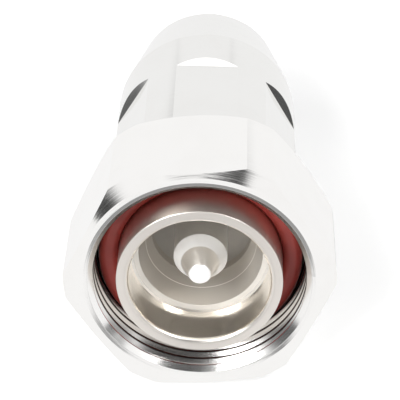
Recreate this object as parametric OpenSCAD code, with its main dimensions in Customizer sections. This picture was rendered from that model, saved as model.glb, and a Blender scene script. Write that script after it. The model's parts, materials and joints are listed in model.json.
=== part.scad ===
// Large coaxial plug, 7 mm pin and 16 mm line, cable clamp type.
// Each piece is drawn on its own axis, with the front face at z = 0 and depth running to the rear.
// The whole plug is then laid down the way it comes to rest: on a flat of the coupling nut
// and on the rear edge of the clamp nut's round band.

/* [Coupling nut] */
// Pitch of the coupling thread
thread_pitch = 1.5; // [1.25:0.25:1.75]
// Wall between the thread and each wrench flat
flat_wall = 1.5; // [1.2:0.1:2]
// Height of the turned corners over the wrench flats
corner_rise = 1.5; // [1:0.1:2.2]
// Step from the wrench flats in to the edge of the front face
face_step = 0.5; // [0.2:0.05:0.9]
// Angle of the nut's front chamfer, measured from the face
nut_face_angle = 20; // [10:1:30]
// Chamfer of 45 degrees at the rear end of the wrench flats
rear_chamfer = 1.5; // [1:0.1:2.2]
// Step from the thread out to the edge of the lead-in chamfer
lead_in = 0.35; // [0.25:0.05:0.5]
// Width of the shallow bevel round the nut's mouth
mouth_bevel = 0.55; // [0.3:0.05:0.7]
// Angle of that bevel, measured from the face
mouth_angle = 15; // [8:1:25]
// Length of the coupling nut
nut_length = 16.4; // [15.9:0.1:20]
// Thickness of the nut's rear wall
nut_wall = 4; // [3.4:0.1:4.4]
// Depth of the snap ring's recess in the nut's rear face
recess_depth = 2; // [1.6:0.1:2.6]

/* [Outer contact] */
// Outer diameter of the contact tube
tube_d = 21.3; // [20.8:0.1:22]
// Bore of the contact tube
tube_bore = 18.2; // [17.6:0.1:18.8]
// Radius of the rounded lip in the tube's mouth
lip_r = 0.6; // [0.3:0.05:0.7]
// Depth of the ledge where the bore narrows to the line
ledge_depth = 6.3; // [5.5:0.1:7.5]
// Bore at the ledge, where the cone to the throat starts
line_bore = 16.2; // [15.6:0.1:17]
// Length of that cone
line_length = 5.5; // [4.8:0.1:6.2]
// Bore of the throat in front of the bead
throat_bore = 13.3; // [12.4:0.1:14]
// Length of that throat
throat_length = 1.5; // [1:0.1:2]

/* [Gasket and flange] */
// Length that the tube stands out in front of the gasket
tube_reach = 5.2; // [4.6:0.1:5.6]
// Thickness of the gasket
gasket_t = 2.5; // [2:0.1:2.8]
// Width of the gasket's ring
gasket_w = 2.55; // [2.1:0.05:2.9]
// Radius of the gasket's front edges
gasket_round = 1; // [0.3:0.05:1.1]
// Thickness of the flange behind the gasket
flange_t = 2.5; // [2:0.1:2.8]
// Step from the clamp thread up to the neck that the nut turns on
neck_step = 0.6; // [0.4:0.1:0.8]

/* [Centre pin] */
// Diameter of the pin
pin_d = 7; // [6.6:0.1:7.4]
// Depth of the pin's tip
tip_depth = 1.8; // [1.4:0.1:2.6]
// Diameter of the flat on the tip
tip_d = 2.9; // [2.4:0.1:3.4]
// Diameter where the nose meets the shoulder
nose_d = 5; // [4.6:0.1:5.6]
// Length of the tapered nose
nose_length = 2.8; // [2:0.1:3.2]
// Length of the sloped shoulder behind the nose
shoulder_length = 1.35; // [1:0.05:1.6]
// Diameter of the pin behind the front bead
stem_d = 6; // [5.4:0.1:6.2]
// Bore of the socket for the cable's inner conductor
socket_bore = 3.6; // [3:0.1:4]
// Depth of that socket
socket_depth = 6; // [4:0.5:8]

/* [Clamp nut] */
// Wall between the clamp thread and each of the six wrench flats
clamp_wall = 1.5; // [1.2:0.1:2]
// Depth that the wrench flats are milled in
flat_cut = 0.75; // [0.5:0.05:1]
// Length of the wrench flats
flat_length = 18.8; // [14:0.1:22]
// Slope of the wall at the rear end of each flat, from the axis
flat_wall_angle = 34; // [25:1:60]
// Length of the clamp nut
clamp_length = 39.2; // [37.5:0.1:43]
// Length of its tapered rear end
taper_length = 12.2; // [10:0.1:14]
// Wall round the cable entry at the end of the taper
end_wall = 3.25; // [2.6:0.05:3.8]
// Radius at the rear rim
rim_r = 0.6; // [0.4:0.1:1.8]
// Diameter of the cable entry
entry_d = 14; // [12:0.1:14.6]
// Turn of the clamp nut's flats against the coupling nut's
clamp_turn = 5.5; // [0:0.5:30]

/* [Cable clamp] */
// Major diameter of the clamp thread
clamp_thread_d = 21; // [20.6:0.1:21.2]
// Pitch of the clamp thread
clamp_pitch = 1; // [0.75:0.25:1]
// Length of the clamp thread on the body
clamp_thread_l = 9; // [7:0.1:10]
// Wall of the cable seal
seal_wall = 2.2; // [1.8:0.1:2.6]
// Thickness of the cable's jacket, which ends behind the collet
jacket_t = 0.8; // [0.6:0.1:1.2]
// Height of a corrugation of the cable's outer conductor
corrugation = 1.4; // [1:0.1:1.8]
// Wall at the tip of the contact cone
cone_lip = 0.6; // [0.4:0.1:1]
// Rise of the contact cone from its tip to its foot
cone_rise = 2; // [1.4:0.1:2.4]
// Length of the collet
collet_length = 7.8; // [7:0.1:9]
// Thickness of the thrust washer
washer_t = 1.2; // [0.8:0.1:1.6]
// Length of the cable seal
seal_length = 7.8; // [6:0.1:8.4]

/* [Beads and rings] */
// Diameter of the beads and of the seat they stand in
bead_d = 16; // [15.4:0.1:16.4]
// Thickness of the front bead
bead_t = 4; // [3:0.1:4.6]
// Thickness of the rear bead
rear_bead_t = 3; // [2.4:0.1:3.6]
// Wall of the spacer sleeve
sleeve_wall = 1.1; // [0.8:0.1:1.5]
// Thickness of the snap ring
ring_t = 1; // [0.8:0.05:1.1]
// Depth that the snap ring sits in the neck
ring_seat = 0.8; // [0.5:0.05:1]
// Height that the snap ring stands over the neck
ring_stand = 1; // [0.7:0.05:1.2]
// Section of the O-ring under the coupling nut
nut_ring_section = 1.2; // [1:0.05:1.4]
// Section of the O-ring under the clamp nut
body_ring_section = 1; // [0.8:0.05:1.1]

/* [Clearances] */
// Radial clearance of a turning fit
run_gap = 0.08; // [0.04:0.01:0.1]
// Clearance of a seated piece
seat_gap = 0.02; // [0.01:0.01:0.04]
// Axial play of the coupling nut at each end
nut_play = 0.2; // [0.15:0.05:0.3]
// Radial room between the gasket and the thread
gasket_gap = 0.468; // [0.3:0.001:0.8]
// Radial room between the flange and the thread
flange_gap = 0.4; // [0.3:0.05:0.6]
// Radial room round the snap ring in its recess
ring_room = 0.3; // [0.2:0.05:0.5]
// Gap between the two nuts
nut_gap = 0.8; // [0.5:0.1:1.5]
// Radial room round the pieces in the clamp cavity
cavity_gap = 0.2; // [0.1:0.05:0.3]

/* [Hidden] */
$fn = 96;
eps = 0.01;

// From the contact tube out to the gasket, the coupling thread and the nut's outline
thread_depth = 0.5413;
gasket_d = tube_d + 2 * seat_gap + 2 * gasket_w;
thread_minor_d = gasket_d + 2 * gasket_gap;
thread_d = thread_minor_d + 2 * thread_depth * thread_pitch;
nut_af = thread_d + 2 * flat_wall;
nut_od = nut_af + 2 * corner_rise;
nut_face_d = nut_af - 2 * face_step;
nut_rear_d = nut_af - 2 * rear_chamfer;
lead_in_d = thread_d + 2 * lead_in;
flange_d = thread_minor_d - 2 * flange_gap;

// From the clamp thread out to the neck and the clamp nut
neck_d = clamp_thread_d + 2 * neck_step;
clamp_af = clamp_thread_d + 2 * clamp_wall;
clamp_d = clamp_af + 2 * flat_cut;

// From the cable entry out to the pieces in the clamp and in to the collet
insert_d = entry_d + 2 * seal_wall;
cavity_d = insert_d + 2 * cavity_gap;
taper_d = entry_d + 2 * end_wall;
collet_bore = entry_d - 2 * jacket_t;
sleeve_bore = bead_d - 2 * sleeve_wall;

// Stations along the axis, as depths behind the front end of the contact tube
flange_front = tube_reach + gasket_t;
flange_rear = flange_front + flange_t;
nut_shoulder = flange_rear + nut_play;
recess_floor = nut_shoulder + nut_wall;
ring_front = recess_floor + nut_play;
nut_rear = recess_floor + recess_depth;
nut_front = nut_rear - nut_length;
clamp_front = nut_rear + nut_gap;
clamp_end = clamp_front + clamp_length;
neck_end = clamp_front - nut_play;
pilot_l = 2.8;
thread_front = clamp_front + pilot_l;
body_end = thread_front + clamp_thread_l;
line_end = ledge_depth + line_length;
bead_depth = line_end + throat_length;
cone_plug_l = 2.7;
sleeve_front = bead_depth + bead_t;
rear_bead_front = body_end - cone_plug_l - rear_bead_t;
cone_front = rear_bead_front + rear_bead_t;
cone_flange_t = 0.8;
cone_foot = body_end + cone_flange_t;
cavity_front = cone_foot;
collet_front = cone_foot + 2 * cavity_gap;
washer_front = collet_front + collet_length;
seal_front = washer_front + washer_t;
seal_seat = seal_front + seal_length + cavity_gap;
nose_end = tip_depth + nose_length;
pin_shoulder = nose_end + shoulder_length;
pin_end = collet_front + collet_length / 3;

// Fits between pieces
nut_bore = neck_d + 2 * run_gap;
ring_groove_d = neck_d - 2 * ring_seat;
ring_d = neck_d + 2 * ring_stand;
recess_d = ring_d + 2 * ring_room;
nut_groove_d = nut_bore - 2 * nut_ring_section - 2 * run_gap;
clamp_root_d = clamp_thread_d - 2 * thread_depth * clamp_pitch;
clamp_bore = clamp_thread_d + 2 * run_gap;
body_groove_d = clamp_bore - 2 * body_ring_section - 2 * run_gap;
cone_flange_d = cavity_d - 4 * cavity_gap;
cone_bore = collet_bore - 2 * corrugation;
cone_tip_d = cone_bore + 2 * cone_lip;
cone_root_d = cone_tip_d + 2 * cone_rise;
foil_gap = 0.7;

// Lie of the plug at rest
nut_foot = nut_rear - rear_chamfer;
band_end = clamp_end - taper_length;
tilt = atan((nut_af - clamp_d) / 2 / (band_end - nut_foot));
lift = nut_af / 2 * cos(tilt) + nut_foot * sin(tilt);
front_reach = min(nut_front * cos(tilt) - nut_face_d / 2 * sin(tilt), -tube_d / 2 * sin(tilt));
rear_reach = (taper_d / 2 - rim_r) * sin(tilt) + (clamp_end - rim_r) * cos(tilt) + rim_r;

// Turns a piece from its own axis to the way the plug lies
module laid() {
    translate([0, -(front_reach + rear_reach) / 2, lift])
        rotate([-90 - tilt, 0, 0])
            children();
}

// A ring turned from depth a to depth b between two diameters
module turned(a, b, outer, inner = 0) {
    translate([0, 0, a])
        difference() {
            cylinder(h = b - a, d = outer);
            if (inner > 0)
                translate([0, 0, -1]) cylinder(h = b - a + 2, d = inner);
        }
}

// A ring of round section
module o_ring(depth, inner, section) {
    translate([0, 0, depth])
        rotate_extrude()
            translate([(inner + section) / 2, 0]) circle(d = section, $fn = 32);
}

// A quarter of a circle as profile points, from angle a to angle b
function arc(x, y, r, a, b, n = 8) =
    [for (i = [0:n]) [x + r * cos(a + (b - a) * i / n), y + r * sin(a + (b - a) * i / n)]];

// Hexagon nut with turned corners, lead-in, thread bore, inner shoulder and snap ring recess
module coupling_nut() {
    reach = (nut_od - nut_face_d) / 2 * tan(nut_face_angle);
    rear_run = (nut_od - nut_rear_d) / 2;
    lead = nut_front + mouth_bevel * tan(mouth_angle) + (lead_in_d - thread_minor_d) / 2 - mouth_bevel;
    crest = thread_pitch / 8;
    relief = (thread_d - thread_minor_d) / 2;
    color("gainsboro") laid()
        difference() {
            intersection() {
                rotate_extrude() polygon([
                    [0, nut_front], [nut_face_d / 2, nut_front], [nut_od / 2, nut_front + reach],
                    [nut_od / 2, nut_rear - rear_run], [nut_rear_d / 2, nut_rear], [0, nut_rear]]);
                translate([0, 0, nut_front - 1]) cylinder(h = nut_length + 2, d = nut_af / cos(30), $fn = 6);
            }
            rotate_extrude() polygon([
                [0, nut_front - eps], [lead_in_d / 2 + eps, nut_front - eps],
                [lead_in_d / 2 - mouth_bevel, nut_front + mouth_bevel * tan(mouth_angle)],
                [thread_minor_d / 2, lead],
                [thread_minor_d / 2, lead + crest], [thread_d / 2, lead + crest + relief],
                [thread_d / 2, nut_shoulder], [nut_bore / 2, nut_shoulder],
                [nut_bore / 2, recess_floor], [recess_d / 2, recess_floor],
                [recess_d / 2, nut_rear + eps], [0, nut_rear + eps]]);
        }
}

// Split ring that keeps the coupling nut on the neck
module snap_ring() {
    split = 3;
    color("darkgray") laid()
        difference() {
            turned(ring_front, ring_front + ring_t, ring_d, ring_groove_d + 2 * seat_gap);
            translate([-split / 2, -ring_d, ring_front - 1]) cube([split, ring_d, ring_t + 2]);
        }
}

// Red sealing ring with a rounded front, seated on the tube and against the flange
module front_gasket() {
    inner = tube_d / 2 + seat_gap;
    outer = gasket_d / 2;
    round = min(gasket_round, (outer - inner) / 2.5);
    color("firebrick") laid()
        rotate_extrude() polygon(concat(
            arc(inner + round, tube_reach + round, round, 180, 270),
            arc(outer - round, tube_reach + round, round, 270, 360),
            [[outer, flange_front], [inner, flange_front]]));
}

// Contact tube, flange, neck, pilot and rear thread, turned in one piece
module plug_body() {
    lip = lip_r;
    rim = 0.12;
    step = 0.25;
    color("silver") laid()
        difference() {
            rotate_extrude() polygon(concat(
                [[0, 0]],
                arc(tube_d / 2 - rim, rim, rim, 270, 360, 4),
                [[tube_d / 2, flange_front], [flange_d / 2, flange_front],
                 [flange_d / 2, flange_rear], [neck_d / 2, flange_rear],
                 [neck_d / 2, neck_end], [clamp_thread_d / 2, neck_end],
                 [clamp_thread_d / 2, thread_front], [clamp_root_d / 2, thread_front],
                 [clamp_root_d / 2, body_end], [0, body_end]]));
            rotate_extrude() polygon(concat(
                [[0, -eps], [tube_bore / 2 + lip, -eps]],
                arc(tube_bore / 2 + lip, lip, lip, 270, 180, 6),
                [[tube_bore / 2, ledge_depth], [line_bore / 2, ledge_depth + step],
                 [throat_bore / 2, line_end],
                 [throat_bore / 2, bead_depth], [bead_d / 2, bead_depth],
                 [bead_d / 2, body_end + eps], [0, body_end + eps]]));
            turned(ring_front - seat_gap, ring_front + ring_t + seat_gap, neck_d + 2, ring_groove_d);
            turned(nut_shoulder + nut_wall / 2 - 0.65 * nut_ring_section,
                   nut_shoulder + nut_wall / 2 + 0.65 * nut_ring_section, neck_d + 2, nut_groove_d);
            turned(clamp_front + pilot_l / 2 - 0.65 * body_ring_section,
                   clamp_front + pilot_l / 2 + 0.65 * body_ring_section, neck_d + 2, body_groove_d);
        }
}

// Pin with a flat tip, tapered nose, sloped shoulder and slotted rear socket
module centre_pin() {
    edge = 0.12;
    slot = 0.6;
    color("whitesmoke") laid()
        difference() {
            rotate_extrude() polygon([
                [0, tip_depth], [tip_d / 2 - edge, tip_depth], [tip_d / 2, tip_depth + edge],
                [nose_d / 2, nose_end], [pin_d / 2, pin_shoulder],
                [pin_d / 2, bead_depth], [stem_d / 2, bead_depth],
                [stem_d / 2, pin_end], [0, pin_end]]);
            translate([0, 0, pin_end - socket_depth]) cylinder(h = socket_depth + 1, d = socket_bore);
            for (turn = [0, 90])
                rotate([0, 0, turn])
                    translate([-slot / 2, -stem_d, pin_end - 0.8 * socket_depth])
                        cube([slot, 2 * stem_d, socket_depth]);
        }
}

// Insulator that holds the pin behind the throat
module front_bead() {
    color("ivory") laid()
        turned(bead_depth, sleeve_front, bead_d - 2 * seat_gap, stem_d + 2 * seat_gap);
}

// Outer conductor between the beads
module spacer_sleeve() {
    color("goldenrod") laid()
        turned(sleeve_front, rear_bead_front, bead_d - 2 * seat_gap, sleeve_bore);
}

// Insulator at the cable side, drilled with six holes
module rear_bead() {
    ring = (stem_d + bead_d) / 4;
    hole = (bead_d - stem_d) / 4;
    color("ivory") laid()
        difference() {
            turned(rear_bead_front, cone_front, bead_d - 2 * seat_gap, stem_d + 2 * seat_gap);
            for (turn = [0:60:300])
                rotate([0, 0, turn])
                    translate([ring, 0, rear_bead_front - 1]) cylinder(h = rear_bead_t + 2, d = hole);
        }
}

// Pressed ring with the cone that carries the flared outer conductor
module contact_cone() {
    cone_l = (cone_root_d - cone_tip_d) / 2;
    color("goldenrod") laid()
        rotate_extrude() polygon([
            [cone_bore / 2, cone_front], [bead_d / 2 - seat_gap, cone_front],
            [bead_d / 2 - seat_gap, body_end], [cone_flange_d / 2, body_end],
            [cone_flange_d / 2, cone_foot], [cone_root_d / 2, cone_foot],
            [cone_tip_d / 2, cone_foot + cone_l], [cone_bore / 2, cone_foot + cone_l]]);
}

// Seal in the neck's groove, under the coupling nut
module nut_o_ring() {
    color("dimgray") laid()
        o_ring(nut_shoulder + nut_wall / 2, nut_groove_d + 2 * seat_gap, nut_ring_section);
}

// Seal in the pilot's groove, under the clamp nut
module body_o_ring() {
    color("dimgray") laid()
        o_ring(clamp_front + pilot_l / 2, body_groove_d + 2 * seat_gap, body_ring_section);
}

// Rear nut with six milled flats, round band, tapered end and cable entry
module clamp_nut() {
    edge = 0.4;
    mouth = 0.5;
    slope = 1 / tan(flat_wall_angle);
    over = 2;
    color("lightgray") laid()
        rotate([0, 0, clamp_turn])
            difference() {
                rotate_extrude() polygon(concat(
                    [[0, clamp_front], [clamp_d / 2 - edge, clamp_front], [clamp_d / 2, clamp_front + edge],
                     [clamp_d / 2, band_end]],
                    arc(taper_d / 2 - rim_r, clamp_end - rim_r, rim_r, 0, 90),
                    [[0, clamp_end]]));
                rotate_extrude() polygon([
                    [0, clamp_front - eps], [clamp_bore / 2 + edge, clamp_front - eps],
                    [clamp_bore / 2, clamp_front + edge], [clamp_bore / 2, cavity_front],
                    [cavity_d / 2, cavity_front], [cavity_d / 2, seal_seat],
                    [entry_d / 2, seal_seat], [entry_d / 2, clamp_end - mouth],
                    [entry_d / 2 + mouth, clamp_end + eps], [0, clamp_end + eps]]);
                for (turn = [30:60:330])
                    rotate([0, 0, turn])
                        rotate([90, 0, 0])
                            linear_extrude(height = clamp_d, center = true)
                                polygon([
                                    [clamp_af / 2, clamp_front - 1], [clamp_af / 2, clamp_front + flat_length],
                                    [clamp_af / 2 + over, clamp_front + flat_length + over * slope],
                                    [clamp_af / 2 + over, clamp_front - 1]]);
            }
}

// Slotted collet with a cone inside its front end
module clamp_collet() {
    slot = 0.8;
    cone_mouth = cone_root_d + cone_foot * 2 - collet_front * 2 + 2 * foil_gap;
    cone_run = (cone_mouth - collet_bore) / 2;
    color("goldenrod") laid()
        difference() {
            rotate_extrude() polygon([
                [cone_mouth / 2, collet_front], [insert_d / 2 - 0.3, collet_front],
                [insert_d / 2, collet_front + 0.3], [insert_d / 2, washer_front],
                [collet_bore / 2, washer_front], [collet_bore / 2, collet_front + cone_run]]);
            for (turn = [0:60:300])
                rotate([0, 0, turn])
                    translate([0, -slot / 2, collet_front - 1])
                        cube([insert_d, slot, 0.65 * collet_length + 1]);
        }
}

// Flat ring between collet and seal
module thrust_washer() {
    color("darkgray") laid()
        turned(washer_front, seal_front, insert_d, entry_d + 2 * cavity_gap);
}

// Rubber seal with inner ribs for the cable jacket
module cable_seal() {
    ribs = 3;
    rib_d = entry_d + 0.1;
    groove_d = entry_d + 1.6;
    pitch = seal_length / ribs;
    color("dimgray") laid()
        difference() {
            turned(seal_front, seal_front + seal_length, insert_d, rib_d);
            for (i = [0:ribs - 1])
                turned(seal_front + pitch * (i + 0.25), seal_front + pitch * (i + 0.75), groove_d);
        }
}

coupling_nut();
snap_ring();
front_gasket();
plug_body();
centre_pin();
front_bead();
spacer_sleeve();
rear_bead();
contact_cone();
nut_o_ring();
body_o_ring();
clamp_nut();
clamp_collet();
thrust_washer();
cable_seal();
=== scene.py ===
"""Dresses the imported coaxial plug: plated metals, red gasket, both threads, studio and camera."""
from __future__ import annotations

import json
import logging
import math
from dataclasses import dataclass, field
from enum import Enum
from typing import Any, Dict, List, Mapping, Optional, Sequence, Tuple, Union

import bpy
import numpy as np
from mathutils import Matrix, Vector


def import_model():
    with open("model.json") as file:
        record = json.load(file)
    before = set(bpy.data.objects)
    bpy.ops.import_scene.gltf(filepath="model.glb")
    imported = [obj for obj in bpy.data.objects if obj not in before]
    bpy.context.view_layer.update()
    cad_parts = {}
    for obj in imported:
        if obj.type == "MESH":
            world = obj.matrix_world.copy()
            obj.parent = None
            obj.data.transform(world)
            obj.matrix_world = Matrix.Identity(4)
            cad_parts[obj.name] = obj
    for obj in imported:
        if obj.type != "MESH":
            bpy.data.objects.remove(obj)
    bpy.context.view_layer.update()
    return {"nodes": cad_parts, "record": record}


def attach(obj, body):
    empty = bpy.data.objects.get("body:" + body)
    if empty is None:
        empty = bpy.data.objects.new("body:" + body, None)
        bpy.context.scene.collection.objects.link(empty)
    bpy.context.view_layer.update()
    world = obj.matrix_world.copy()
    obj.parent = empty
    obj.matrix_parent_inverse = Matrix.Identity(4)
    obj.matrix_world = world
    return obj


LOG = logging.getLogger("plug")
MM = 0.001
# Depth of the coupling nut's stated hinge point behind the plug's front end, in millimetres
HINGE_DEPTH = 8.0
# Mean of a noise
NOISE_MEAN = 0.5
# Sockets of a Mix node that hold its two colours and their mixture
MIX_A, MIX_B, MIX_RESULT = 6, 7, 2
Colour = Tuple[float, float, float]
Place = Tuple[float, float, float]
Span = Tuple[float, float]
Value = Union["Socket", float, Sequence[float]]
Finish = Union["TurnedMetal", "MouldedSoft"]
WHITE: Colour = (1.0, 1.0, 1.0)
RIGHT: Place = (1.0, 0.0, 0.0)
REARWARD: Place = (0.0, 1.0, 0.0)
UP: Place = (0.0, 0.0, 1.0)


class Socket:
    """A shader value that takes part in Python expressions; each operator adds one Math node."""

    def __init__(self, sheet: Shading, out: bpy.types.NodeSocket) -> None:
        """Keeps the sheet of nodes and the output that carries the value."""
        self.sheet = sheet
        self.out = out

    def math(self, operation: str, *others: Value) -> Socket:
        """Applies one Math operation.

        Args:
            operation: Math node operation, with this value first.
            others: Further operands.

        Returns:
            The result as a value.
        """
        inputs: Dict[Union[str, int], Value] = dict(enumerate((self, *others)))
        return self.sheet.node("ShaderNodeMath", {"operation": operation}, inputs)

    def reflected(self, operation: str, first: float) -> Socket:
        """Applies one Math operation to a number and this value, in that order."""
        return self.sheet.node("ShaderNodeMath", {"operation": operation}, {0: first, 1: self})

    def __add__(self, other: Value) -> Socket:
        """Sum."""
        return self.math("ADD", other)

    __radd__ = __add__

    def __mul__(self, other: Value) -> Socket:
        """Product."""
        return self.math("MULTIPLY", other)

    __rmul__ = __mul__

    def __sub__(self, other: Value) -> Socket:
        """Difference."""
        return self.math("SUBTRACT", other)

    def __rsub__(self, other: float) -> Socket:
        """Difference from a number."""
        return self.reflected("SUBTRACT", other)

    def __truediv__(self, other: Value) -> Socket:
        """Quotient."""
        return self.math("DIVIDE", other)

    def __rtruediv__(self, other: float) -> Socket:
        """Quotient of a number and this value."""
        return self.reflected("DIVIDE", other)

    def length(self, other: Socket) -> Socket:
        """Root of the sum of the squares of two values."""
        return (self * self + other * other).math("SQRT")

    def step(self, low: float, high: float) -> Socket:
        """Goes smoothly from 0 to 1.

        Args:
            low: Where it is 0.
            high: Where it is 1.

        Returns:
            The step.
        """
        return self.sheet.node(
            "ShaderNodeMapRange",
            {"interpolation_type": "SMOOTHSTEP"},
            {"Value": self, "From Min": low, "From Max": high},
        )

    def below(self, limit: float, soft: float) -> Socket:
        """1 below a limit and 0 above it, fading over soft on each side."""
        return self.step(limit + soft, limit - soft)

    def band(self, low: float, high: float, soft: float) -> Socket:
        """1 between low and high, fading to 0 over soft on each side."""
        return self.step(low - soft, low) * (1.0 - self.step(high, high + soft))


class Shading:
    """The nodes of one material or of the world."""

    def __init__(self, tree: bpy.types.NodeTree) -> None:
        """Starts from an empty tree."""
        self.tree = tree
        tree.nodes.clear()

    @classmethod
    def of_material(cls, name: str) -> Tuple[bpy.types.Material, Shading]:
        """Makes a material with an empty tree.

        Args:
            name: Name of the material.

        Returns:
            The material and its nodes.
        """
        material = bpy.data.materials.new(name)
        material.use_nodes = True
        return material, cls(material.node_tree)

    def node(
        self,
        kind: str,
        settings: Optional[Mapping[str, Any]] = None,
        inputs: Optional[Mapping[Union[str, int], Value]] = None,
        output: Union[str, int] = 0,
    ) -> Socket:
        """Adds any node: its settings first, then the values or links of its sockets.

        Args:
            kind: Node type.
            settings: Properties to set.
            inputs: Numbers, colours or values by socket name or index.
            output: Name or index of the output to hand back.

        Returns:
            The chosen output as a value, or the first input of a node that has no output.
        """
        made = self.tree.nodes.new(kind)
        for key, value in (settings or {}).items():
            setattr(made, key, value)
        for key, value in (inputs or {}).items():
            socket = made.inputs[key]
            if isinstance(value, Socket):
                self.tree.links.new(value.out, socket)
            elif isinstance(value, (int, float)):
                socket.default_value = value
            else:
                full = tuple(value)
                if len(socket.default_value) == 4 and len(full) == 3:
                    full = (*full, 1.0)
                socket.default_value = full
        return Socket(self, made.outputs[output] if len(made.outputs) else made.inputs[0])

    def mix(self, factor: Value, a: Value, b: Value) -> Socket:
        """Mixes two colours.

        Args:
            factor: 0 gives a, 1 gives b.
            a: First colour.
            b: Second colour.

        Returns:
            The mixed colour.
        """
        inputs = {"Factor": factor, MIX_A: a, MIX_B: b}
        return self.node("ShaderNodeMix", {"data_type": "RGBA"}, inputs, output=MIX_RESULT)

    def own_place(self) -> Socket:
        """Place on the piece, in the row frame."""
        return self.node("ShaderNodeTexCoord", output="Object")

    def place(self, x: Value, y: Value, z: Value) -> Socket:
        """Joins three values into one place."""
        return self.node("ShaderNodeCombineXYZ", None, {0: x, 1: y, 2: z})

    def along(self, place: Socket, start: Sequence[float], way: Sequence[float]) -> Socket:
        """How far a place lies from a start along a unit direction, in metres.

        Args:
            place: The place.
            start: Where the count begins.
            way: The direction.

        Returns:
            The length.
        """
        gap = self.node("ShaderNodeVectorMath", {"operation": "SUBTRACT"}, {0: place, 1: tuple(start)})
        inputs = {0: gap, 1: tuple(way)}
        return self.node("ShaderNodeVectorMath", {"operation": "DOT_PRODUCT"}, inputs, output="Value")

    def noise(self, place: Socket, scale: float, detail: float, roughness: float = 0.5) -> Socket:
        """Adds noise in three dimensions.

        Args:
            place: Where it is read.
            scale: Waves per unit of the place.
            detail: Number of finer layers.
            roughness: Strength of each finer layer against the last.

        Returns:
            The noise.
        """
        inputs = {"Vector": place, "Scale": scale, "Detail": detail, "Roughness": roughness}
        return self.node("ShaderNodeTexNoise", {"noise_dimensions": "3D"}, inputs)

    def bump(self, height: Socket, depth: float, strength: float) -> Socket:
        """Turns a height into a bumped normal.

        Args:
            height: The height, from 0 to 1.
            depth: What a height of 1 stands for, in millimetres.
            strength: Share of the bump that is used.

        Returns:
            The normal.
        """
        inputs = {"Strength": strength, "Distance": depth * MM, "Height": height}
        return self.node("ShaderNodeBump", None, inputs)

    def seen(self, straight: float, mirrored: float, other: float) -> Socket:
        """Strength by the kind of ray.

        Args:
            straight: For rays from the camera, and rays let through.
            mirrored: For mirrored rays.
            other: For all rays that only carry light.

        Returns:
            The strength.
        """
        kinds = ("Is Camera Ray", "Is Transmission Ray", "Is Glossy Ray")
        eye, through, mirror = (self.node("ShaderNodeLightPath", output=kind) for kind in kinds)
        plain = eye.math("MAXIMUM", through)
        return other + plain * (straight - other) + mirror * (1.0 - plain) * (mirrored - other)

    def glow(self, colour: Value, strength: Value = 1.0) -> Socket:
        """Light of one colour, given off evenly."""
        return self.node("ShaderNodeEmission", None, {"Color": colour, "Strength": strength})

    def blend(self, factor: Value, a: Socket, b: Socket) -> Socket:
        """Mixes two shaders: a factor of 0 gives a, 1 gives b."""
        return self.node("ShaderNodeMixShader", None, {0: factor, 1: a, 2: b})

    def surface(self, shader: Socket) -> None:
        """Sends a shader to the material output."""
        self.node("ShaderNodeOutputMaterial", None, {"Surface": shader})


@dataclass(frozen=True)
class AxisFrame:
    """The plug's own axis in the row frame: front end, and the direction to the rear."""

    front: Place
    rear: Place

    @classmethod
    def of_record(cls, record: Mapping[str, Any], depth: float) -> AxisFrame:
        """Reads the axis from the coupling nut's hinge.

        Args:
            record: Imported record.
            depth: Depth of that hinge's stated point behind the front end, in metres.

        Returns:
            The axis.
        """
        hinge = next(j for j in record["behaviour"]["joints"] if j["name"] == "coupling_spin")
        rear = Vector(hinge["axis"]).normalized()
        return cls(tuple(Vector(hinge["pos_m"]) - rear * depth), tuple(rear))

    @property
    def lean(self) -> float:
        """Angle of the axis below the horizon towards the rear, in radians."""
        return math.atan2(-self.rear[2], self.rear[1])

    def points(self, depth: np.ndarray, radius: np.ndarray, angle: np.ndarray) -> np.ndarray:
        """Turns depth, radius and angle into row coordinates.

        Each point is front + depth * rear + radius * (cos(angle) * right + sin(angle) * up).

        Args:
            depth: Depths behind the front end, in metres.
            radius: Distances from the axis.
            angle: Angles from the right, towards the top, in radians.

        Returns:
            Points, with the last axis of length 3.
        """
        rear = np.array(self.rear)
        right = np.array(RIGHT)
        up = np.cross(right, rear)
        return (
            np.array(self.front)
            + depth[..., None] * rear
            + (radius * np.cos(angle))[..., None] * right
            + (radius * np.sin(angle))[..., None] * up
        )

    def coordinates(self, sheet: Shading) -> Tuple[Socket, Socket, Socket, Socket]:
        """Gives the shader the plug's own coordinates, in millimetres.

        Args:
            sheet: Node sheet to add to.

        Returns:
            Distance from the axis, depth, and the cosine and sine of the angle.
        """
        turn = math.pi / 2 + self.lean
        start = Matrix.Rotation(turn, 3, "X") @ Vector(self.front)
        own = sheet.node(
            "ShaderNodeMapping",
            {"vector_type": "POINT"},
            {
                "Vector": sheet.own_place(),
                "Location": tuple(-start / MM),
                "Rotation": (turn, 0.0, 0.0),
                "Scale": (1.0 / MM,) * 3,
            },
        )
        x, y, depth = (sheet.node("ShaderNodeSeparateXYZ", None, {0: own}, output=i) for i in range(3))
        radius = x.length(y)
        return radius, depth, x / radius, y / radius


class Bounce(Enum):
    """Roughness of a metal, from bright plate to the softest."""

    BRIGHT = 0.09
    SATIN = 0.2
    GROUND = 0.32
    SOFT = 0.4


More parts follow.
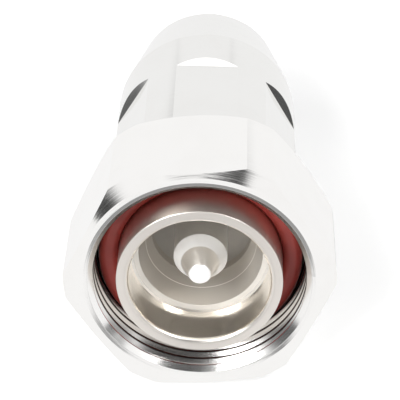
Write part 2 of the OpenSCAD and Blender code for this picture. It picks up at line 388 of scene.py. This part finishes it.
@dataclass(frozen=True)
class TurnedMetal:
    """Plated or bare metal with fine marks of the lathe round the plug's axis; lengths in millimetres."""

    name: str
    tone: Colour
    shade: Colour
    bounce: Bounce
    # Lathe marks: depth, pitch, how far depth counts beside radius, change round the axis, uneven roughness
    marks: float = 0.006
    pitch: float = 0.3
    slant: float = 0.63
    swirl: float = 1.6
    marks_rough: float = 0.1
    # Cloudy stains: strength, scale per millimetre, the noise between which they set in, uneven roughness
    stain: float = 0.35
    cloud_across: float = 0.21
    cloud_along: float = 0.17
    cloud_span: Span = (0.35, 0.75)
    cloud_rough: float = 0.08
    # Duller inside this radius, as cut metal is
    cut_r: float = 0.0
    cut_rough: float = 0.06
    # Dark inside this radius: painted dark reflection, the thread's crests coloured near black for the
    # shaded inside they mirror
    crest_r: float = 0.0
    crest: Colour = (0.1, 0.09, 0.085)
    crest_shade_edge: float = 0.04
    # Share of metal outside the polished depths, those depths, and how much smoother they are
    metallic: float = 1.0
    polished: Tuple[Span, ...] = ()
    polish: float = 0.0
    # Lighter and smoother inside this radius, with fine pale rings at some depths that are painted
    # highlights, near white and not metal
    inner_r: float = 0.0
    inner: Colour = (0.93, 0.885, 0.82)
    inner_polish: float = 0.13
    rings: Tuple[Span, ...] = ()
    ring_highlight: Colour = (1.0, 0.98, 0.95)
    ring_highlight_edge: float = 0.03
    # Soft edge of the other zones
    edge: float = 0.05

    def material(self, axis: AxisFrame) -> bpy.types.Material:
        """Builds the finish: noise in rings gives bump and roughness, cloudy noise gives tone.

        Args:
            axis: The plug's axis.

        Returns:
            The material.
        """
        material, sheet = Shading.of_material(self.name)
        radius, depth, cosine, sine = axis.coordinates(sheet)
        along = (radius + depth * self.slant) / self.pitch
        turned = sheet.noise(sheet.place(along, cosine * self.swirl, sine * self.swirl), 1.0, 3.0, 0.6)
        spot = sheet.place(
            radius * cosine * self.cloud_across, radius * sine * self.cloud_across, depth * self.cloud_along
        )
        cloud = sheet.noise(spot, 1.0, 4.0, 0.55)
        colour = sheet.mix(cloud.step(*self.cloud_span) * self.stain, self.tone, self.shade)
        uneven = (turned - NOISE_MEAN) * self.marks_rough + (cloud - NOISE_MEAN) * self.cloud_rough
        rough = self.bounce.value + uneven
        if self.cut_r:
            rough = rough + radius.below(self.cut_r, self.edge) * self.cut_rough
        metallic: Value = self.metallic
        for first, last in self.polished:
            bright = depth.band(first, last, self.edge)
            metallic = bright * (1.0 - self.metallic) + metallic
            rough = rough - bright * self.polish
        if self.inner_r:
            inside = radius.below(self.inner_r, self.edge)
            colour = sheet.mix(inside, colour, self.inner)
            rough = rough - inside * self.inner_polish
            # Painted highlights: fine near-white rings at the given depths
            for first, last in self.rings:
                fine = depth.band(first, last, self.ring_highlight_edge) * inside
                metallic = metallic * (1.0 - fine)
                colour = sheet.mix(fine, colour, self.ring_highlight)
        # Painted dark reflection: the crests inside crest_r turn near black
        if self.crest_r:
            colour = sheet.mix(radius.below(self.crest_r, self.crest_shade_edge), colour, self.crest)
        sockets = {
            "Base Color": colour,
            "Metallic": metallic,
            "Roughness": rough,
            "Normal": sheet.bump(turned, self.marks, 1.0),
        }
        sheet.surface(sheet.node("ShaderNodeBsdfPrincipled", None, sockets))
        return material


@dataclass(frozen=True)
class MouldedSoft:
    """Silicone, rubber or PTFE: one colour that clouds a little, with a fine moulded grain."""

    name: str
    tone: Colour
    shade: Colour
    rough: float
    # Depth and size of the grain in millimetres, and how far it shows
    grain: float = 0.02
    grain_size: float = 0.25
    grain_rough: float = 0.12
    grain_bump: float = 0.4
    # Clouds per millimetre, and the noise between which they set in
    cloud_scale: float = 0.3
    cloud_span: Span = (0.3, 0.75)

    def material(self, axis: AxisFrame) -> bpy.types.Material:
        """Builds the finish from cloudy noise for tone and fine noise for grain.

        Args:
            axis: The plug's axis.

        Returns:
            The material.
        """
        material, sheet = Shading.of_material(self.name)
        radius, depth, cosine, sine = axis.coordinates(sheet)
        spot = sheet.place(radius * cosine, radius * sine, depth)
        cloud = sheet.noise(spot, self.cloud_scale, 5.0)
        grain = sheet.noise(spot, 1.0 / self.grain_size, 2.0)
        sockets = {
            "Base Color": sheet.mix(cloud.step(*self.cloud_span), self.tone, self.shade),
            "Roughness": self.rough + (grain - NOISE_MEAN) * self.grain_rough,
            "Normal": sheet.bump(grain, self.grain, self.grain_bump),
        }
        sheet.surface(sheet.node("ShaderNodeBsdfPrincipled", None, sockets))
        return material


NICKEL = TurnedMetal(
    "bright_nickel", (0.99, 0.98, 0.965), (0.95, 0.935, 0.915), Bounce.BRIGHT, cut_r=14.4
)
CLAMP = TurnedMetal("clamp_nickel", (0.91, 0.905, 0.89), (0.87, 0.86, 0.84), Bounce.BRIGHT)
# The thread's crests get a painted dark reflection, near black inside crest_r
THREAD = TurnedMetal(
    "cut_nickel", (0.9, 0.88, 0.86), (0.8, 0.78, 0.75), Bounce.SATIN, marks=0.003, crest_r=13.8
)
CONTACT = TurnedMetal(
    "contact_plate",
    (0.84, 0.795, 0.745),
    (0.79, 0.74, 0.68),
    Bounce.GROUND,
    metallic=0.55,
    polished=((-5.0, 6.35), (11.9, 60.0)),
    inner_r=9.2,
    # A fine ring of painted highlight on the cone inside the bore
    rings=((9.47, 9.53),),
)
SILVER = TurnedMetal(
    "pin_silver",
    (0.97, 0.965, 0.955),
    (0.93, 0.92, 0.9),
    Bounce.SOFT,
    pitch=0.2,
    metallic=0.05,
    polished=((1.9, 4.58), (6.0, 60.0)),
    polish=0.06,
)
BRASS = TurnedMetal("bare_brass", (0.78, 0.6, 0.3), (0.68, 0.5, 0.24), Bounce.SATIN)
STEEL = TurnedMetal("spring_steel", (0.56, 0.56, 0.57), (0.45, 0.45, 0.46), Bounce.GROUND)
SILICONE = MouldedSoft("red_silicone", (0.48, 0.07, 0.055), (0.4, 0.056, 0.045), 0.42)
RUBBER = MouldedSoft("black_rubber", (0.035, 0.035, 0.035), (0.055, 0.053, 0.05), 0.55)
# The beads' grey tone is painted shade: white PTFE darkened for the shade deep inside the body
PTFE = MouldedSoft("bead_ptfe_painted_shade", (0.4, 0.385, 0.36), (0.36, 0.34, 0.32), 0.45)


def mesh_piece(
    name: str,
    points: np.ndarray,
    faces: np.ndarray,
    caps: Sequence[Sequence[int]] = (),
    crease: float = 180.0,
) -> bpy.types.Object:
    """Puts whole arrays of points and quads into a mesh object at the origin.

    Args:
        name: Name of the piece.
        points: Points, with the last axis of length 3.
        faces: Quads, m by 4.
        caps: Further faces of any number of corners.
        crease: Angle in degrees above which an edge stays sharp.

    Returns:
        The object, with smooth faces.
    """
    mesh = bpy.data.meshes.new(name)
    mesh.from_pydata(points.reshape(-1, 3).tolist(), [], faces.tolist() + [list(c) for c in caps])
    mesh.polygons.foreach_set("use_smooth", np.ones(len(mesh.polygons), dtype=bool))
    mesh.set_sharp_from_angle(angle=math.radians(crease))
    mesh.update()
    piece = bpy.data.objects.new(name, mesh)
    bpy.context.scene.collection.objects.link(piece)
    return piece


def dress(piece: bpy.types.Object, material: bpy.types.Material) -> None:
    """Gives a piece one material in all its slots.

    Args:
        piece: The piece.
        material: Its finish.
    """
    if not piece.data.materials:
        piece.data.materials.append(material)
    for index in range(len(piece.data.materials)):
        piece.data.materials[index] = material
    LOG.info("%s gets %s", piece.name, material.name)


def tube_quads(rings: int, sides: int) -> np.ndarray:
    """Quads of a grid of rings by sides that closes round its sides.

    Args:
        rings: Number of rings.
        sides: Points in each ring.

    Returns:
        Quads, (rings - 1) * sides by 4.
    """
    i, j = np.meshgrid(np.arange(rings - 1), np.arange(sides), indexing="ij")
    k = (j + 1) % sides
    corners = [i * sides + j, i * sides + k, (i + 1) * sides + k, (i + 1) * sides + j]
    return np.stack(corners, -1).reshape(-1, 4)


def plane_quads(rows: int, columns: int) -> np.ndarray:
    """Quads of an open grid of rows by columns.

    Args:
        rows: Number of rows of points.
        columns: Points in each row.

    Returns:
        Quads, (rows - 1) * (columns - 1) by 4.
    """
    i, j = np.meshgrid(np.arange(rows - 1), np.arange(columns - 1), indexing="ij")
    a = i * columns + j
    return np.stack([a, a + 1, a + columns + 1, a + columns], -1).reshape(-1, 4)


def flat_sheet(
    name: str, middle: Sequence[float], across: Sequence[float], tall: Sequence[float], lines: int
) -> bpy.types.Object:
    """Makes a flat grid: middle + u * across + v * tall, with u and v from -1 to 1.

    Args:
        name: Name of the sheet.
        middle: Its middle.
        across: From the middle to one side.
        tall: From the middle to the top.
        lines: Points along each side.

    Returns:
        The sheet.
    """
    side = np.linspace(-1.0, 1.0, lines)
    u, v = np.meshgrid(side, side)
    points = np.array(middle) + u[..., None] * np.array(across) + v[..., None] * np.array(tall)
    return mesh_piece(name, points, plane_quads(lines, lines))


class ThreadSide(Enum):
    """Which way a thread's ridge stands."""

    INSIDE = -1
    OUTSIDE = 1


@dataclass
class ThreadRidge:
    """One right-hand thread ridge, as a profile carried along a helix; lengths in millimetres."""

    name: str
    side: ThreadSide
    root_r: float
    crest_r: float
    pitch: float
    # Depths of its first and last turn
    first: float
    last: float
    # Widths of crest and foot, as shares of the pitch
    crest_share: float
    foot_share: float
    # Angle of the start in degrees, how far the foot is sunk in, and turns over which the ends fade
    start: float = 90.0
    sunk: float = 0.05
    fade_turns: float = 0.3
    rings_per_turn: int = 120

    def build(self, axis: AxisFrame) -> bpy.types.Object:
        """Sweeps the ridge.

        After u turns the profile stands at the angle start - 360 * u and the depth first + pitch * u, and
        its height is a smooth step of u at either end.

        Args:
            axis: The plug's axis.

        Returns:
            The ridge.
        """
        foot, crest = self.foot_share * self.pitch / 2, self.crest_share * self.pitch / 2
        shift = np.array([-foot, -foot, -crest, crest, foot, foot])
        height = np.array([0.0, 0.0, 1.0, 1.0, 0.0, 0.0])
        turns = (self.last - self.first) / self.pitch
        rings = int(turns * self.rings_per_turn) + 1
        u = np.linspace(0.0, turns, rings)
        fade = np.clip(np.minimum(u, turns - u) / self.fade_turns, 0.0, 1.0)
        fade = fade * fade * (3 - 2 * fade)
        deep = self.root_r - self.side.value * self.sunk
        radius = self.root_r + (self.crest_r - self.root_r) * height[None, :] * fade[:, None]
        radius[:, [0, -1]] = deep
        radius[[0, -1], :] = deep
        depth = self.first + self.pitch * u[:, None] + shift[None, :]
        angle = np.broadcast_to(math.radians(self.start) - 2 * math.pi * u[:, None], depth.shape)
        points = axis.points(depth * MM, radius * MM, angle)
        sides = len(shift)
        quads = tube_quads(rings, sides)
        if self.side is ThreadSide.OUTSIDE:
            quads = quads[:, ::-1]
        ends = [list(range(sides)), list(range((rings - 1) * sides, rings * sides))]
        ends[0 if self.side is ThreadSide.INSIDE else 1].reverse()
        return mesh_piece(self.name, points, quads, ends, crease=25.0)


@dataclass
class CouplingNut:
    """The hexagon nut with its inside thread."""

    finish: TurnedMetal = NICKEL
    cut: TurnedMetal = THREAD
    thread: ThreadRidge = field(
        default_factory=lambda: ThreadRidge(
            name="coupling_thread",
            side=ThreadSide.INSIDE,
            root_r=14.5,
            crest_r=13.7,
            pitch=1.5,
            first=1.65,
            last=9.6,
            crest_share=0.16,
            foot_share=0.92,
        )
    )

    def build(self, axis: AxisFrame) -> List[bpy.types.Object]:
        """Makes the thread ridge, riding on the nut.

        Args:
            axis: The plug's axis.

        Returns:
            The new pieces.
        """
        ridge = self.thread.build(axis)
        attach(ridge, "coupling_nut")
        return [ridge]

    def dress(self, axis: AxisFrame, nodes: Mapping[str, bpy.types.Object]) -> None:
        """Gives the nut bright plate, and its thread the duller plate of a cut surface.

        Args:
            axis: The plug's axis.
            nodes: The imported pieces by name.
        """
        dress(nodes["coupling_nut"], self.finish.material(axis))
        dress(bpy.data.objects[self.thread.name], self.cut.material(axis))


@dataclass
class ContactSet:
    """Body, pin, beads, gasket, rings and the body's rear thread."""

    thread: ThreadRidge = field(
        default_factory=lambda: ThreadRidge(
            name="body_thread",
            side=ThreadSide.OUTSIDE,
            root_r=9.96,
            crest_r=10.49,
            pitch=1.0,
            first=20.5,
            last=28.5,
            crest_share=0.14,
            foot_share=0.78,
        )
    )
    finishes: Dict[str, Finish] = field(
        default_factory=lambda: {
            "plug_body": CONTACT,
            "centre_pin": SILVER,
            "front_gasket": SILICONE,
            "front_bead": PTFE,
            "rear_bead": PTFE,
            "spacer_sleeve": BRASS,
            "contact_cone": BRASS,
            "snap_ring": STEEL,
            "nut_o_ring": RUBBER,
            "body_o_ring": RUBBER,
        }
    )

    def build(self, axis: AxisFrame) -> List[bpy.types.Object]:
        """Makes the rear thread's ridge, riding on the body.

        Args:
            axis: The plug's axis.

        Returns:
            The new pieces.
        """
        ridge = self.thread.build(axis)
        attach(ridge, "plug")
        return [ridge]

    def dress(self, axis: AxisFrame, nodes: Mapping[str, bpy.types.Object]) -> None:
        """Gives each piece its finish, and the ridge the body's.

        Args:
            axis: The plug's axis.
            nodes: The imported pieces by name.
        """
        for node, finish in self.finishes.items():
            dress(nodes[node], finish.material(axis))
        dress(bpy.data.objects[self.thread.name], nodes["plug_body"].data.materials[0])


@dataclass
class CableClamp:
    """The rear nut with collet, washer and seal."""

    finishes: Dict[str, Finish] = field(
        default_factory=lambda: {
            "clamp_nut": CLAMP,
            "clamp_collet": BRASS,
            "thrust_washer": STEEL,
            "cable_seal": RUBBER,
        }
    )

    def dress(self, axis: AxisFrame, nodes: Mapping[str, bpy.types.Object]) -> None:
        """Gives each piece its finish.

        Args:
            axis: The plug's axis.
            nodes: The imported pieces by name.
        """
        for node, finish in self.finishes.items():
            dress(nodes[node], finish.material(axis))


@dataclass(frozen=True)
class Flag:
    """A grey studio card, by its direction from the plug and its size, in degrees."""

    name: str
    azimuth: float
    elevation: float
    width: float
    height: float
    grey: float = 0.03
    # Distance in metres, and the share of the card over which its rim fades into the room
    distance: float = 0.5
    soft: float = 0.4


@dataclass(frozen=True)
class ShadeSpot:
    """A small round spot of painted shade on the floor, seen only in mirrors, by its place and radius in
    metres.
    """

    x: float
    y: float
    radius: float
    grey: float


@dataclass(frozen=True)
class Softbox:
    """A round lamp, by its direction from the plug in degrees, and its distance and width in metres."""

    name: str
    azimuth: float
    elevation: float
    distance: float
    width: float
    watts: float


def direction(azimuth: float, elevation: float) -> Vector:
    """Unit vector; azimuth 0 is towards -Y and 90 towards +X, in degrees."""
    a, e = math.radians(azimuth), math.radians(elevation)
    return Vector((math.sin(a) * math.cos(e), -math.cos(a) * math.cos(e), math.sin(e)))


@dataclass
class Studio:
    """Pale floor, white room, soft lamps, grey cards and the camera; lengths in metres."""

    # Where cards and lamps are aimed, and the room's strength as plain light and in mirrors
    centre: Place = (0.0, -0.02, 0.016)
    ambient: float = 0.22
    mirrored: float = 0.93
    # The floor's size and tone, its lift to the camera, and where it fades to white
    floor_side: float = 4.0
    floor_lines: int = 9
    floor_tone: Colour = (0.93, 0.93, 0.93)
    floor_lift: float = 0.33
    floor_fade: Span = (0.14, 0.45)
    # The shade under the plug in mirrors: its grey, where it ends sideways, and its ends and their fade
    shade: float = 0.3
    shade_across: Span = (0.006, 0.028)
    shade_along: Tuple[float, float, float] = (-0.012, 0.016, 0.014)
    # The camera from the plug's front end, as right, up and rearward; its lens and sensor in millimetres
    eye: Place = (0.01532, 0.1354761, -0.1981542)
    look: Place = (-0.06115, -0.526787, 0.847795)
    right: Place = (0.99679, -0.07621, 0.024543)
    lens: float = 170.1
    sensor: float = 36.0
    clip: Span = (0.01, 20.0)
    card_lines: int = 3
    flags: Tuple[Flag, ...] = (
        Flag("card_low_left", -32.5, 2.0, 15.0, 14.0, grey=0.06, soft=0.6),
        Flag("card_low_front", 8.0, 12.0, 18.0, 10.0, grey=0.04),
        Flag("card_round_eye", 12.5, 41.0, 53.0, 49.0, grey=0.05, soft=0.25),
        Flag("card_front_left", -45.0, 10.0, 32.0, 24.0, grey=0.12, soft=0.25),
        Flag("card_front_right", 52.0, 8.0, 32.0, 22.0, grey=0.28),
        Flag("card_left", -71.0, 17.0, 22.0, 38.0, grey=0.08, soft=0.3),
        Flag("card_right", 67.5, 3.5, 8.0, 13.0),
        Flag("card_far_left", -110.0, 1.0, 24.0, 22.0, grey=0.13, distance=0.139, soft=0.2),
        Flag("card_far_right", 106.0, 4.0, 24.0, 22.0, grey=0.09, distance=0.137, soft=0.2),
        Flag("card_side_left", -121.0, 27.0, 52.0, 34.0, grey=0.2, soft=0.45),
        Flag("card_side_right", 114.0, 25.0, 64.0, 38.0, grey=0.2, soft=0.45),
        Flag("card_back", 180.0, 58.0, 90.0, 42.0, grey=0.3, soft=0.5),
        Flag("card_rear_left", -149.0, 31.0, 34.0, 34.0, grey=0.42, distance=0.52, soft=0.6),
        Flag("card_rear_right", 149.0, 31.0, 34.0, 34.0, grey=0.42, distance=0.52, soft=0.6),
    )
    # Share of a shade spot's radius at which its soft rim ends
    shade_spot_rim: float = 1.5
    # Round spots of painted shade on the floor, seen only in mirrors
    shade_spots: Tuple[ShadeSpot, ...] = (
        ShadeSpot(-0.0022, -0.0494, radius=0.004, grey=0.3),
        ShadeSpot(-0.01, -0.08, radius=0.0045, grey=0.2),
        ShadeSpot(-0.003, -0.074, radius=0.0045, grey=0.2),
        ShadeSpot(0.003, -0.067, radius=0.0045, grey=0.25),
    )
    lamps: Tuple[Softbox, ...] = (
        Softbox("overhead", 0.0, 88.0, distance=0.55, width=0.6, watts=0.4),
        Softbox("front", -36.0, 43.0, distance=0.5, width=0.24, watts=1.3),
        Softbox("front_left", -72.0, 52.0, distance=0.5, width=0.2, watts=0.4),
        Softbox("front_right", 66.0, 48.0, distance=0.5, width=0.2, watts=0.95),
    )

    def floor_paper(self) -> bpy.types.Material:
        """Makes the floor's paper: white far off; mirrors see the shade under the plug and round spots of
        painted shade.

        Returns:
            The material.
        """
        material, sheet = Shading.of_material("floor_paper")
        place = sheet.own_place()
        x, y = (sheet.along(place, (0.0, 0.0, 0.0), way) for way in (RIGHT, REARWARD))
        paper = sheet.node("ShaderNodeBsdfDiffuse", None, {"Color": self.floor_tone})
        lift = sheet.glow(WHITE, sheet.seen(self.floor_lift, 0.0, 0.0))
        near = sheet.node("ShaderNodeAddShader", None, {0: paper, 1: lift})
        far = x.length(y).step(*self.floor_fade) * sheet.seen(1.0, 0.0, 0.0)
        plain = sheet.blend(far, near, sheet.glow(WHITE))
        under = (1.0 - x.math("ABSOLUTE").step(*self.shade_across)) * y.band(*self.shade_along)
        tone = sheet.mix(under, (self.mirrored,) * 3, (self.shade,) * 3)
        # Painted shade: each spot darkens the floor's tone in mirrors
        for shade_spot in self.shade_spots:
            gap = (x - shade_spot.x).length(y - shade_spot.y)
            tone = sheet.mix(gap.step(shade_spot.radius, shade_spot.radius * self.shade_spot_rim), (shade_spot.grey,) * 3, tone)
        sheet.surface(sheet.blend(sheet.seen(0.0, 1.0, 0.0), plain, sheet.glow(tone)))
        return material

    def floor(self) -> None:
        """Lays the floor as one flat sheet under the plug."""
        half = self.floor_side / 2
        across, tall = Vector(RIGHT) * half, Vector(REARWARD) * half
        piece = flat_sheet("floor", (0.0, 0.0, 0.0), across, tall, self.floor_lines)
        dress(piece, self.floor_paper())

    def card(self, flag: Flag) -> None:
        """Hangs one card where only mirrors see it, facing the plug.

        Args:
            flag: The card.
        """
        out = direction(flag.azimuth, flag.elevation)
        middle = Vector(self.centre) + out * flag.distance
        across = Vector(UP).cross(out).normalized()
        tall = out.cross(across)
        half_w = flag.distance * math.tan(math.radians(flag.width / 2))
        half_h = flag.distance * math.tan(math.radians(flag.height / 2))
        piece = flat_sheet(flag.name, middle, across * half_w, tall * half_h, self.card_lines)
        material, sheet = Shading.of_material(flag.name)
        place = sheet.own_place()
        u = sheet.along(place, middle, across) / half_w
        v = sheet.along(place, middle, tall) / half_h
        rim = u.math("ABSOLUTE").math("MAXIMUM", v.math("ABSOLUTE"))
        tone = sheet.mix(rim.step(1.0 - flag.soft, 1.0), (flag.grey,) * 3, (self.mirrored,) * 3)
        sheet.surface(sheet.glow(tone))
        dress(piece, material)
        piece.visible_camera = False
        piece.visible_diffuse = False
        piece.visible_shadow = False

    def room(self) -> None:
        """Makes the room white to the camera, pale in mirrors and dim as plain light."""
        world = bpy.data.worlds.new("room")
        bpy.context.scene.world = world
        world.use_nodes = True
        sheet = Shading(world.node_tree)
        strength = sheet.seen(1.0, self.mirrored, self.ambient)
        walls = sheet.node("ShaderNodeBackground", None, {"Color": WHITE, "Strength": strength})
        sheet.node("ShaderNodeOutputWorld", None, {"Surface": walls})

    def lamp(self, softbox: Softbox) -> None:
        """Hangs one round lamp, facing the plug.

        Args:
            softbox: The lamp.
        """
        data = bpy.data.lights.new(softbox.name, "AREA")
        data.shape = "DISK"
        data.size = softbox.width
        data.energy = softbox.watts
        made = bpy.data.objects.new(softbox.name, data)
        out = direction(softbox.azimuth, softbox.elevation)
        made.location = Vector(self.centre) + out * softbox.distance
        made.rotation_euler = out.to_track_quat("Z", "Y").to_euler()
        bpy.context.scene.collection.objects.link(made)

    def camera(self, axis: AxisFrame) -> None:
        """Places the camera at its eye point, turned by its look and right directions.

        Args:
            axis: The plug's axis; the camera's numbers run right, up and along it from its front end.
        """
        rear = Vector(axis.rear)
        across = Vector(RIGHT)
        own = Matrix((across, across.cross(rear), rear)).transposed()
        data = bpy.data.cameras.new("camera")
        data.sensor_width = self.sensor
        data.lens = self.lens
        data.clip_start, data.clip_end = self.clip
        made = bpy.data.objects.new("camera", data)
        back = -(own @ Vector(self.look)).normalized()
        right = own @ Vector(self.right)
        right = (right - right.dot(back) * back).normalized()
        turn = Matrix((right, back.cross(right), back)).transposed()
        eye = Vector(axis.front) + own @ Vector(self.eye)
        made.matrix_world = Matrix.Translation(eye) @ turn.to_4x4()
        bpy.context.scene.collection.objects.link(made)
        bpy.context.scene.camera = made

    def build(self, axis: AxisFrame) -> None:
        """Sets up the whole studio round the plug.

        Args:
            axis: The plug's axis.
        """
        self.floor()
        for flag in self.flags:
            self.card(flag)
        self.room()
        for softbox in self.lamps:
            self.lamp(softbox)
        self.camera(axis)
        bpy.context.scene.view_settings.view_transform = "Standard"


def main() -> None:
    """Builds the classes in order."""
    logging.basicConfig(level=logging.INFO, format="%(message)s")
    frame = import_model()
    axis = AxisFrame.of_record(frame["record"], HINGE_DEPTH * MM)
    nut, contacts, clamp = CouplingNut(), ContactSet(), CableClamp()
    for piece in nut.build(axis) + contacts.build(axis):
        LOG.info("%s has %d faces", piece.name, len(piece.data.polygons))
    nut.dress(axis, frame["nodes"])
    contacts.dress(axis, frame["nodes"])
    clamp.dress(axis, frame["nodes"])
    Studio().build(axis)


if __name__ == "__main__":
    main()
